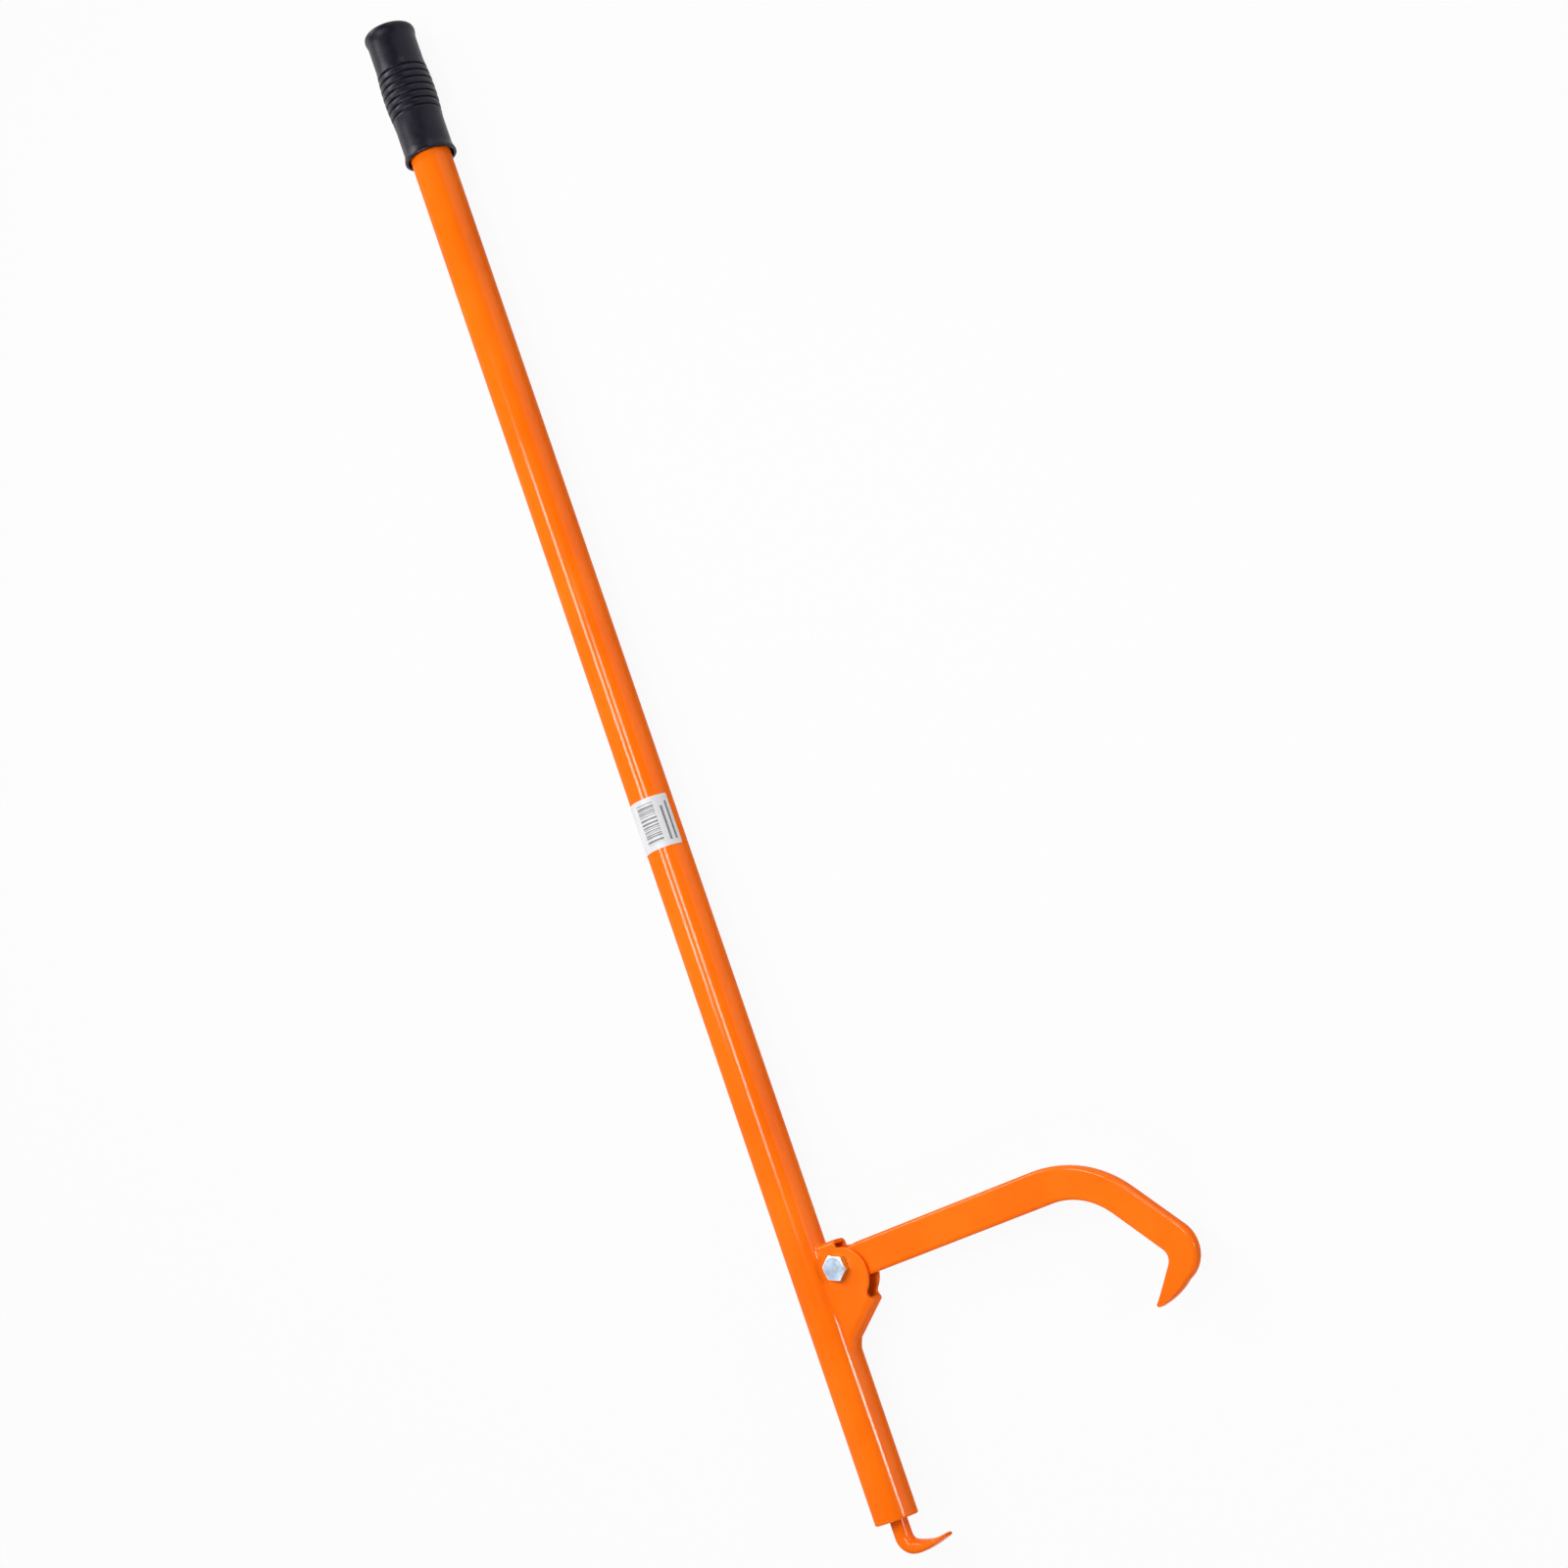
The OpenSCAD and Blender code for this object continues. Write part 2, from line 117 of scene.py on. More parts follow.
def close_face():
    """Joins the ends of a traced outline and fills it."""
    merge_corners(TRACE_JOIN)
    bpy.ops.mesh.select_all(action="SELECT")
    bpy.ops.mesh.edge_face_add()


def tidy_shell():
    merge_corners(TRACE_JOIN)
    bpy.ops.mesh.normals_make_consistent(inside=False)


def turn(name, points, centre, axis, steps):
    """Turns a traced profile into a round piece, as on a lathe."""
    piece = trace(name, points)
    bpy.ops.mesh.select_all(action="SELECT")
    bpy.ops.mesh.spin(steps=steps, angle=math.tau, center=centre, axis=axis)
    tidy_shell()
    bpy.ops.object.mode_set(mode="OBJECT")
    return piece


def pick_faces(test):
    mesh = bmesh.from_edit_mesh(bpy.context.edit_object.data)
    bpy.ops.mesh.select_mode(type="FACE")
    bpy.ops.mesh.select_all(action="DESELECT")
    for face in mesh.faces:
        face.select_set(bool(test(face)))
    bmesh.update_edit_mesh(bpy.context.edit_object.data)


def pick_edges(test):
    mesh = bmesh.from_edit_mesh(bpy.context.edit_object.data)
    bpy.ops.mesh.select_mode(type="EDGE")
    bpy.ops.mesh.select_all(action="DESELECT")
    for edge in mesh.edges:
        edge.select_set(bool(test(edge)))
    bmesh.update_edit_mesh(bpy.context.edit_object.data)


def apply_tool(piece, kind, **settings):
    """Adds a modifier, sets it and applies it."""
    pick_up(piece)
    tool = piece.modifiers.new(kind.lower(), kind)
    for key, value in settings.items():
        setattr(tool, key, value)
    bpy.ops.object.modifier_apply(modifier=tool.name)


def cut(piece, blade, operation="DIFFERENCE"):
    """Cuts a piece with another, or joins or trims it, and uses the other up."""
    apply_tool(piece, "BOOLEAN", object=blade, operation=operation, solver="EXACT")
    bpy.data.objects.remove(blade)
    bpy.ops.object.mode_set(mode="EDIT")
    merge_corners(CUT_JOIN)
    bpy.ops.object.mode_set(mode="OBJECT")


def soften_edges(piece, width, angle):
    apply_tool(piece, "BEVEL", width=width, segments=2, limit_method="ANGLE",
               angle_limit=math.radians(angle), use_clamp_overlap=True)


def put_away(piece, body, node, finish, angle=32):
    """Shades a finished piece, paints it and hands it to its body in place of its CAD node."""
    pick_up(piece)
    bpy.ops.object.shade_smooth_by_angle(angle=math.radians(angle))
    apply_tool(piece, "WEIGHTED_NORMAL", weight=100, keep_sharp=True)
    piece.data.materials.clear()
    piece.data.materials.append(finish)
    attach(piece, body)
    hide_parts(node)


def rod(name, radius, start, end, sides=64):
    """A straight round cutter or blank between two points."""
    lay_down_tools()
    along = end - start
    bpy.ops.mesh.primitive_cylinder_add(vertices=sides, radius=radius, depth=along.length,
                                        location=(start + end) / 2,
                                        rotation=along.to_track_quat("Z", "Y").to_euler())
    return settle(name)


def pointing(a):
    """Unit vector at an angle in radians."""
    return Vector((math.cos(a), math.sin(a)))


def direction(angle):
    """Unit vector at an angle in degrees."""
    return pointing(math.radians(angle))


def crossing(a, a_angle, b, b_angle):
    """Where two lines on the side view cross."""
    gap = b - a
    other = direction(b_angle)
    along = (gap.x * other.y - gap.y * other.x) / math.sin(math.radians(b_angle - a_angle))
    return a + direction(a_angle) * along


def rounded(before, corner, after, radius, steps):
    """Points of the arc that rounds a corner of an outline."""
    to_before = (before - corner).normalized()
    to_after = (after - corner).normalized()
    half = math.acos(max(-1, min(1, to_before.dot(to_after)))) / 2
    middle = corner + (to_before + to_after).normalized() * radius / math.sin(half)
    first = corner + to_before * radius / math.tan(half) - middle
    sweep = math.pi - 2 * half
    side = 1 if to_before.cross(to_after) < 0 else -1
    return [middle + Matrix.Rotation(side * sweep * i / steps, 2) @ first
            for i in range(steps + 1)]


# Finishes

def new_finish(name):
    finish = bpy.data.materials.new(name)
    finish.use_nodes = True
    nodes, links = finish.node_tree.nodes, finish.node_tree.links
    shader = next(n for n in nodes if n.type == "BSDF_PRINCIPLED")
    place = nodes.new("ShaderNodeTexCoord")
    return finish, nodes, links, shader, place.outputs["Object"]


def noise(nodes, links, place, scale, detail=3.0, roughness=0.55):
    texture = nodes.new("ShaderNodeTexNoise")
    texture.inputs["Scale"].default_value = scale
    texture.inputs["Detail"].default_value = detail
    texture.inputs["Roughness"].default_value = roughness
    links.new(place, texture.inputs["Vector"])
    return texture.outputs["Fac"]


def ramp(nodes, links, value, stops):
    scale = nodes.new("ShaderNodeValToRGB")
    scale.color_ramp.elements[0].position, scale.color_ramp.elements[0].color = stops[0]
    scale.color_ramp.elements[1].position, scale.color_ramp.elements[1].color = stops[-1]
    for position, colour in stops[1:-1]:
        scale.color_ramp.elements.new(position).color = colour
    links.new(value, scale.inputs["Fac"])
    return scale.outputs["Color"]


def between(nodes, links, value, low, high, from_low=0.3, from_high=0.7):
    mapped = nodes.new("ShaderNodeMapRange")
    mapped.inputs["From Min"].default_value = from_low
    mapped.inputs["From Max"].default_value = from_high
    mapped.inputs["To Min"].default_value = low
    mapped.inputs["To Max"].default_value = high
    links.new(value, mapped.inputs["Value"])
    return mapped.outputs["Result"]


def combine(nodes, links, operation, a, b):
    made = nodes.new("ShaderNodeMath")
    made.operation = operation
    for socket, value in zip(made.inputs, (a, b)):
        if isinstance(value, (int, float)):
            socket.default_value = value
        else:
            links.new(value, socket)
    return made.outputs[0]


def blend_colour(nodes, links, share, a, b):
    mixed = nodes.new("ShaderNodeMix")
    mixed.data_type = "RGBA"
    links.new(share, mixed.inputs["Factor"])
    for name, value in (("A", a), ("B", b)):
        socket = next(s for s in mixed.inputs if s.name == name and s.type == "RGBA")
        if isinstance(value, tuple):
            socket.default_value = value
        else:
            links.new(value, socket)
    return next(s for s in mixed.outputs if s.type == "RGBA")


def bump(nodes, links, shader, layers):
    """Stacks bump layers: (height, strength, depth in metres)."""
    last = None
    for height, strength, depth in layers:
        made = nodes.new("ShaderNodeBump")
        made.inputs["Strength"].default_value = strength
        made.inputs["Distance"].default_value = depth
        links.new(height, made.inputs["Height"])
        if last:
            links.new(last, made.inputs["Normal"])
        last = made.outputs["Normal"]
    links.new(last, shader.inputs["Normal"])


def powder_coat(name, light, deep):
    """Glossy orange powder coat: faint cloudiness, orange peel and a few pinholes."""
    finish, nodes, links, shader, place = new_finish(name)
    cloud = noise(nodes, links, place, 14, 4)
    colour = ramp(nodes, links, cloud, [(0.3, deep), (0.7, light)])
    speck = noise(nodes, links, place, 620, 2)
    pinhole = between(nodes, links, speck, 0, 0.5, 0.76, 0.8)
    links.new(blend_colour(nodes, links, pinhole, colour, (0.42, 0.05, 0.002, 1)),
              shader.inputs["Base Color"])
    links.new(between(nodes, links, noise(nodes, links, place, 55, 3), 0.1, 0.17),
              shader.inputs["Roughness"])
    view = nodes.new("ShaderNodeLayerWeight")
    links.new(between(nodes, links, view.outputs["Facing"], 0.27, 0.012, 0.18, 0.42),
              shader.inputs["Specular IOR Level"])
    peel = noise(nodes, links, place, 420, 2)
    bump(nodes, links, shader, [(peel, 0.06, 0.0002), (speck, 0.03, 0.0001)])
    return finish


def moulded_rubber():
    finish, nodes, links, shader, place = new_finish("satin black rubber")
    cloud = noise(nodes, links, place, 45, 4)
    links.new(ramp(nodes, links, cloud, [(0.3, (0.0036, 0.0033, 0.0072, 1)),
                                         (0.7, (0.006, 0.0056, 0.0115, 1))]),
              shader.inputs["Base Color"])
    links.new(between(nodes, links, noise(nodes, links, place, 160, 3), 0.34, 0.46),
              shader.inputs["Roughness"])
    shader.inputs["Specular IOR Level"].default_value = 0.3
    shader.inputs["Specular Tint"].default_value = (0.88, 0.86, 1.0, 1)
    grain = noise(nodes, links, place, 1500, 2)
    flow = noise(nodes, links, place, 90, 3)
    bump(nodes, links, shader, [(grain, 0.25, 0.00012), (flow, 0.06, 0.0006)])
    return finish


def zinc_plate():
    """Zinc on a bolt and a nut: dull and speckled on the forged ends, smoother on the flats."""
    finish, nodes, links, shader, place = new_finish("bright zinc plate")
    cloud = noise(nodes, links, place, 420, 4, 0.65)
    blotch = noise(nodes, links, place, 150, 3)
    tone = ramp(nodes, links, cloud, [(0.36, (0.58, 0.73, 1.0, 1)), (0.56, (0.7, 0.84, 1.0, 1)),
                                      (0.68, (0.98, 0.99, 1.0, 1))])
    links.new(tone, shader.inputs["Base Color"])
    shape = nodes.new("ShaderNodeTexCoord")
    split = nodes.new("ShaderNodeSeparateXYZ")
    links.new(shape.outputs["Normal"], split.inputs["Vector"])
    forged = combine(nodes, links, "ABSOLUTE", split.outputs["Z"], 0)
    links.new(between(nodes, links, forged, 1.0, 0.7), shader.inputs["Metallic"])
    dullness = between(nodes, links, forged, 0.35, 1.0)
    links.new(combine(nodes, links, "MULTIPLY", between(nodes, links, blotch, 0.3, 0.55), dullness),
              shader.inputs["Roughness"])
    fine = noise(nodes, links, place, 900, 3)
    bump(nodes, links, shader, [(cloud, 0.45, 0.0004), (fine, 0.2, 0.0001)])
    return finish


def blue_nylon():
    finish, nodes, links, shader, place = new_finish("blue nylon")
    cloud = noise(nodes, links, place, 300, 3)
    links.new(ramp(nodes, links, cloud, [(0.3, (0.03, 0.09, 0.3, 1)), (0.7, (0.05, 0.13, 0.38, 1))]),
              shader.inputs["Base Color"])
    links.new(between(nodes, links, cloud, 0.4, 0.55), shader.inputs["Roughness"])
    shader.inputs["Subsurface Weight"].default_value = 0.05
    bump(nodes, links, shader, [(noise(nodes, links, place, 1800, 2), 0.2, 0.0001)])
    return finish


def label_paper():
    """Coated white paper with plain grey lines and bars that say nothing."""
    finish, nodes, links, shader, place = new_finish("white label paper")
    split = nodes.new("ShaderNodeSeparateXYZ")
    links.new(place, split.inputs["Vector"])
    round_angle = combine(nodes, links, "ARCTAN2", split.outputs["Z"], split.outputs["X"])
    degrees = combine(nodes, links, "MULTIPLY", round_angle, 180 / math.pi)
    low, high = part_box("label")
    along = combine(nodes, links, "MULTIPLY",
                    combine(nodes, links, "SUBTRACT", split.outputs["Y"], low.y), 1 / (high.y - low.y))

    def band(value, start, end):
        above = combine(nodes, links, "GREATER_THAN", value, start)
        below = combine(nodes, links, "LESS_THAN", value, end)
        return combine(nodes, links, "MULTIPLY", above, below)

    def block(angles, lengths):
        return combine(nodes, links, "MULTIPLY", band(degrees, *angles), band(along, *lengths))

    stripe = nodes.new("ShaderNodeTexNoise")
    stripe.noise_dimensions = "1D"
    stripe.inputs["Scale"].default_value = 26
    stripe.inputs["Detail"].default_value = 1.0
    links.new(along, stripe.inputs["W"])
    bars = combine(nodes, links, "MULTIPLY", block((56, 104), (0.1, 0.9)),
                   combine(nodes, links, "GREATER_THAN", stripe.outputs["Fac"], 0.5))
    upper = block((19, 25), (0.1, 0.86))
    lower = block((34, 40), (0.1, 0.78))
    lines = combine(nodes, links, "MAXIMUM", combine(nodes, links, "MAXIMUM", upper, lower), bars)
    fibre = noise(nodes, links, place, 700, 4)
    paper = ramp(nodes, links, fibre, [(0.3, (0.61, 0.61, 0.63, 1)), (0.7, (0.67, 0.67, 0.68, 1))])
    faded = between(nodes, links, fibre, 0.72, 0.92)
    links.new(blend_colour(nodes, links, combine(nodes, links, "MULTIPLY", lines, faded), paper,
                           (0.07, 0.07, 0.08, 1)), shader.inputs["Base Color"])
    links.new(between(nodes, links, fibre, 0.38, 0.5), shader.inputs["Roughness"])
    bump(nodes, links, shader, [(fibre, 0.12, 0.0001)])
    return finish


orange = powder_coat("orange powder coat", (0.97, 0.172, 0.004, 1), (0.91, 0.136, 0.0015, 1))
# The same powder coat with darker colours: painted shade for the plug and the welds set inside the tube's
# end
orange_inside = powder_coat("orange powder coat with painted shade", (0.74, 0.12, 0.003, 1), (0.6, 0.09, 0.002, 1))
rubber = moulded_rubber()
zinc = zinc_plate()
nylon = blue_nylon()
paper = label_paper()


# Pole: tube, plug, ring welds, toe, grip and label

TUBE_WALL, SLIDE_FIT = 2.0, 0.05
TOE_HOLE_R, PLUG_WELD_R, RING_LEG, RING_SWELL = 6.55, 13.95, 2.4, 0.36
LABEL_WIDTH, LABEL_START, PAPER, GLUE = 40.0, 9.4, 0.18, 0.06
plug_low, plug_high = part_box("end_plug")
plug_face = (plug_low.y - pole_end) / MM
toe_weld_low, toe_weld_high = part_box("toe_weld")
toe_x = (toe_weld_low.x + toe_weld_high.x) / 2


def along_pole(radius, height):
    """A point of a turned profile: radius and height above the tube's lower end, in millimetres."""
    return Vector((radius * MM, pole_end + height * MM, 0))


def make_tube():
    outer, edge = tube_r / MM, 1.2
    bore = outer - TUBE_WALL
    length = (tube_high.y - pole_end) / MM
    lip = [along_pole(outer - edge + edge * math.sin(a), edge - edge * math.cos(a))
           for a in (math.pi / 2 * i / 5 for i in range(6))]
    profile = [along_pole(bore, length), along_pole(bore, 0.3), along_pole(bore + 0.3, 0)] + lip
    profile += [along_pole(outer, 2 * edge)]
    profile += [along_pole(outer, length * i / 8) for i in range(1, 9)] + [along_pole(bore, length)]
    tube = turn("handle_tube_coated", profile, (0, pole_end, 0), POLE_AXIS, 128)
    put_away(tube, "pole", "handle_tube", orange)


def make_plug():
    bottom, top = plug_face, (plug_high.y - pole_end) / MM
    radius = plug_high.x / MM
    profile = [along_pole(0.01, top), along_pole(radius - 0.5, top), along_pole(radius, top - 0.5),
               along_pole(radius, bottom + 0.4), along_pole(radius - 0.4, bottom),
               along_pole(0.01, bottom)]
    plug = turn("end_plug_coated", profile, (0, pole_end, 0), POLE_AXIS, 64)
    drill_from = Vector((toe_x, plug_low.y - 0.01, 0))
    drill_to = Vector((toe_x, plug_high.y + 0.01, 0))
    cut(plug, rod("plug_drill", TOE_HOLE_R * MM, drill_from, drill_to))
    put_away(plug, "pole", "end_plug", orange_inside)


def make_ring_weld(name, node, centre_x, wall_r, outward):
    """A ring of weld on the plug's face, with a rounded face and the ripple of the weld pool."""
    across = RING_LEG if outward else -RING_LEG
    section = [(wall_r, plug_face), (wall_r, plug_face - RING_LEG)]
    for i in range(1, 6):
        c = math.cos(math.pi * i / 12)
        section.append((wall_r + across * RING_SWELL * (1 - c), plug_face - RING_LEG * (1 - RING_SWELL) * c))
    section += [(wall_r + across, plug_face), (wall_r, plug_face)]
    points = [Vector((centre_x + r * MM, pole_end + y * MM, 0)) for r, y in section]
    weld = turn(name, points, (centre_x, pole_end, 0), POLE_AXIS, 72)
    texture = bpy.data.textures.new(name + " ripple", "CLOUDS")
    texture.noise_scale = 1.6 * MM
    apply_tool(weld, "DISPLACE", texture=texture, texture_coords="LOCAL", strength=0.5 * MM,
               mid_level=0.55)
    put_away(weld, "pole", node, orange_inside)


def loft(name, stations):
    """A solid through a row of rings, each a list of points, extruded from one to the next."""
    piece = trace(name, stations[0] + stations[0][:1])
    close_face()
    for before, after in zip(stations, stations[1:]):
        bpy.ops.mesh.extrude_region_move()
        mesh = bmesh.from_edit_mesh(piece.data)
        for corner in [v for v in mesh.verts if v.select]:
            nearest = min(range(len(before)), key=lambda i: (before[i] - corner.co).length)
            corner.co = after[nearest]
        bmesh.update_edit_mesh(piece.data)
    tidy_shell()
    bpy.ops.object.mode_set(mode="OBJECT")
    return piece


def bar_ring(middle, heading, half_t, half_w, square):
    """Section of a bar lying across its heading: round at square 2, boxier above."""
    side = direction(heading + 90)
    ring = []
    for i in range(48):
        c, s = direction(360 * i / 48)
        t = math.copysign(abs(c) ** (2 / square), c) * half_t
        w = math.copysign(abs(s) ** (2 / square), s) * half_w
        point = middle + side * t
        ring.append(Vector((point.x * MM, pole_end + point.y * MM, w * MM)))
    return ring


def make_toe():
    """Round bar bent square and hammered out into a tongue that turns up at its tip."""
    low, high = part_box("toe_spike")
    bar_x = toe_x / MM
    bar_r, bend_r, root_t = 6.5, 8.0, 10.2
    sole = (low.y - pole_end) / MM
    bend_y = sole + bar_r + bend_r
    top = (high.y - pole_end) / MM
    rings = [bar_ring(Vector((bar_x, y)), -90, bar_r, bar_r, 2) for y in (top, 4.0, 0.0, bend_y)]
    bend_steps = 12
    for i in range(1, bend_steps + 1):
        share = i / bend_steps
        squeeze = (bar_r - root_t / 2) * share ** 2
        out = direction(180 + 90 * share) * (bend_r + squeeze)
        rings.append(bar_ring(Vector((bar_x + bend_r, bend_y)) + out, -90 + 90 * share, bar_r - squeeze,
                              bar_r + 0.1 * share, 2 + 0.3 * share))
    # Tongue: distance from the bar, underside, upper side, half width
    tongue = ((10.5, 0.0, 9.0, 6.8), (13.5, 0.1, 8.1, 7.1), (17.0, 0.45, 7.4, 7.5), (21.0, 1.1, 6.8, 7.9),
              (25.0, 2.0, 6.6, 8.2), (28.5, 3.0, 6.8, 8.2), (31.5, 3.9, 7.15, 7.8), (33.6, 4.5, 7.5, 7.0),
              (35.0, 4.95, 7.7, 6.0), (35.7, 5.3, 7.6, 4.9), (36.0, 5.8, 7.2, 3.6))
    for x, under, upper, half_w in tongue:
        middle = Vector((bar_x + x, sole + (under + upper) / 2))
        rings.append(bar_ring(middle, 0, (upper - under) / 2, half_w, 3))
    toe = loft("toe_spike_coated", rings)
    put_away(toe, "pole", "toe_spike", orange, 55)


def make_grip():
    """Moulded sleeve: open flared mouth, ribbed swell, flared and closed end."""
    mouth = (grip_low.y - pole_end) / MM
    length = (grip_high.y - grip_low.y) / MM
    bore, body = tube_r / MM + SLIDE_FIT, 19.15
    seat = length - 5
    groove_start, pitch, count = 39.6, 6.0, 7
    rib_mid = groove_start + (count - 1) * pitch / 2
    rib_half = (count + 1.8) * pitch / 2

    def skin(y):
        share = (y - rib_mid) / rib_half
        return body + 1.45 * max(0, 1 - share * share) ** 1.3

    profile = [(0, seat), (bore, seat), (bore, 12.5), (16.6, 11.4), (17.6, 8.5), (18.2, 5.2),
               (18.35, 3.2), (18.45, 2.55), (18.75, 2.3), (19.95, 2.3), (20.3, 2.45), (20.5, 2.85),
               (20.55, 3.5), (20.45, 4.5), (20.1, 5.8), (19.65, 7.2), (19.3, 8.8), (body, 10.5),
               (body, 18), (body, 27), (body, rib_mid - rib_half)]
    for i in range(count):
        y = groove_start + i * pitch
        if i == 0:
            profile += [(skin(y - 4), y - 4)]
        profile += [(skin(y + lift) + depth, y + lift) for lift, depth in
                    ((-2.4, 0.1), (-1.5, -0.05), (-0.8, -0.35), (-0.35, -0.8), (0.0, -1.15), (0.25, -1.1),
                     (0.45, -0.6), (0.65, -0.05), (1.0, 0.1), (1.8, 0.12))]
    profile += [(skin(y), y) for y in (groove_start + count * pitch - 2, rib_mid + rib_half - 3)]
    # Closed end: distance from the end, and how far the skin stands out there
    flare = ((16, 0), (11, 0), (9, 0.12), (7.2, 0.4), (5.8, 0.75), (4.6, 0.97), (3.5, 1.0), (2.4, 0.85),
             (1.35, 0.45), (0.6, -0.25), (0.15, -1.1), (0, -2.0))
    profile += [(body, rib_mid + rib_half)]
    profile += [(body + out, length - back) for back, out in flare] + [(9, length), (0, length)]
    grip = turn("rubber_grip_moulded", [along_pole(r, mouth + y) for r, y in profile],
                (0, pole_end, 0), POLE_AXIS, 160)
    put_away(grip, "pole", "rubber_grip", rubber, 40)


def make_label():
    """Thin paper wrapped round the tube."""
    low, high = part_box("label")
    radius = tube_r + GLUE * MM
    start = direction(LABEL_START) * radius
    first = Vector((start.x, low.y, start.y))
    steps = 12
    edge = [first + Vector((0, (high.y - low.y) * i / steps, 0)) for i in range(steps + 1)]
    sticker = trace("label_printed", edge)
    bpy.ops.mesh.select_all(action="SELECT")
    bpy.ops.mesh.spin(steps=64, angle=LABEL_WIDTH * MM / tube_r, center=(0, low.y, 0), axis=POLE_AXIS)
    tidy_shell()
    bpy.ops.object.mode_set(mode="OBJECT")
    outward = (face.normal.dot(Vector((face.center.x, 0, face.center.z))) for face in sticker.data.polygons)
    if sum(outward) < 0:
        pick_up(sticker)
        bpy.ops.object.mode_set(mode="EDIT")
        bpy.ops.mesh.select_all(action="SELECT")
        bpy.ops.mesh.flip_normals()
        bpy.ops.object.mode_set(mode="OBJECT")
    apply_tool(sticker, "SOLIDIFY", thickness=PAPER * MM, offset=1.0, use_even_offset=True)
    put_away(sticker, "pole", "label", paper)


# Bracket and its welds

SHEET, HALF_OUT, WEB_FOLD, BRIDGE_FOLD = 3.0, 8.5, 6.0, 4.0
BRIDGE_RISE, BRIDGE_REACH = 19.5, 2.5
LOBE, LOBE_R, NOTCH_R = Vector((0.8, -7.5)), 21.0, 4.0
WEB_SLOPE, WEB_LEN, FOOT_DROP, SPARE = 38.5, 38.1, 54.0, 10.0
RIM_ROUND, BOLT_HOLE_R, FOLD_STEPS, LOBE_STEPS, NOTCH_STEPS = 0.9, 5.15, 8, 40, 17
ON_FACE, WELD_SINK, WELD_ROOT = 0.01, 0.05, 0.4
web_along = direction(WEB_SLOPE)
web_out = Vector((web_along.y, -web_along.x))
foot = Vector(((tube_r - pivot.x) / MM, -FOOT_DROP))
web_end = foot + web_along * WEB_LEN


def at_pivot(point, z=0.0):
    """A point of the side view, in millimetres from the pivot."""
    return Vector((pivot.x + point.x * MM, pivot.y + point.y * MM, z * MM))


def from_pivot(point):
    return Vector(((point.x - pivot.x) / MM, (point.y - pivot.y) / MM))


def plate(name, outline, half):
    """A block with a side view's outline, reaching half to each side of the middle; stays in edit mode."""
    corners = [at_pivot(p, -half) for p in outline]
    piece = trace(name, corners + corners[:1])
    close_face()
    bpy.ops.mesh.extrude_region_move(TRANSFORM_OT_translate={"value": (0, 0, 2 * half * MM)})
    tidy_shell()
    return piece


def notch_centre():
    """Middle of the round notch that touches the cheek's lobe and ends square on the web."""
    reach = web_end + web_along * NOTCH_R - LOBE
    across = reach.dot(web_out)
    span = math.sqrt(across ** 2 - reach.length_squared + (LOBE_R + NOTCH_R) ** 2)
    return LOBE + reach - web_out * (across - span)


def bracket_outline():
    """Side view of the bracket before its notch is cut: bridge, round cheek and web, open to the pole."""
    inside = -pivot.x / MM + 8
    rise = math.sqrt(LOBE_R ** 2 - (BRIDGE_REACH - LOBE.x) ** 2)
    start = math.atan2(rise, BRIDGE_REACH - LOBE.x)
    to_notch = notch_centre() - LOBE
    end = math.atan2(to_notch.y, to_notch.x)
    points = [Vector((inside, BRIDGE_RISE)), Vector((BRIDGE_REACH, BRIDGE_RISE))]
    points += [LOBE + pointing(start + (end - start) * i / LOBE_STEPS) * LOBE_R
               for i in range(LOBE_STEPS + 1)]
    points += [web_end + web_along * SPARE, foot - web_along * ((foot.x - inside) / web_along.x)]
    return points


def notch_outline():
    """Side view of the cut between the round cheek and the end of the web."""
    notch = notch_centre()
    to_lobe = LOBE - notch
    back = math.atan2(to_lobe.y, to_lobe.x)
    stop = math.atan2(-web_along.y, -web_along.x)
    lead = math.radians(20)
    sweep = (stop - back) % math.tau + lead
    points = [notch + pointing(back - lead + sweep * i / NOTCH_STEPS) * NOTCH_R
              for i in range(NOTCH_STEPS + 1)]
    return points + [web_end + web_out * 6, web_end + web_along * (SPARE + 16) + web_out * 4]


